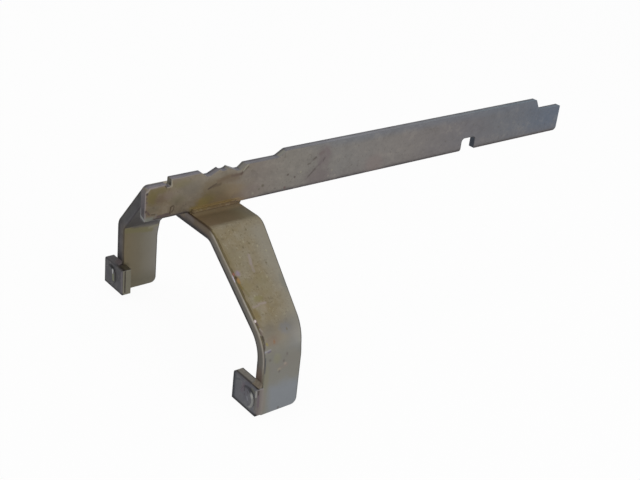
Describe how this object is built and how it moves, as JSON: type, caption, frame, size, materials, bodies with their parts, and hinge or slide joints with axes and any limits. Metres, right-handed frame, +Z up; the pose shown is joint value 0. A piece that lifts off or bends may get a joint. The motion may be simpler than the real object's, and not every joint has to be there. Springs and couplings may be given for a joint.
{
  "type": "transmission shift fork",
  "caption": "Steel gearbox shift fork: a long flat shift rail with detent notches, a slot and a tang, standing on a bent tapered strap with two legs and welded pads.",
  "frame": {"origin": "where the rail's fork end, its mid-plane and its lower long edge meet", "axes": "+X along the rail from its fork end, +Y across the rail towards the leg with the crossed pad, +Z up, away from the legs"},
  "size_m": [0.287, 0.14, 0.0959],
  "materials": {
    "rail_steel": "worn zinc with a yellow passivate",
    "strap_steel": "worn zinc with a yellow passivate",
    "pad_steel": "ground and darkened by use",
    "weld_steel": "heat-tinted weld"
  },
  "bodies": {
    "root": {"shift_rail": "rail_steel", "fork_strap": "strap_steel", "near_pad": "pad_steel", "far_pad": "pad_steel", "near_rail_weld": "weld_steel", "far_rail_weld": "weld_steel", "end_rail_weld": "weld_steel", "near_pad_weld": "weld_steel", "far_pad_weld": "weld_steel"}
  },
  "joints": []
}
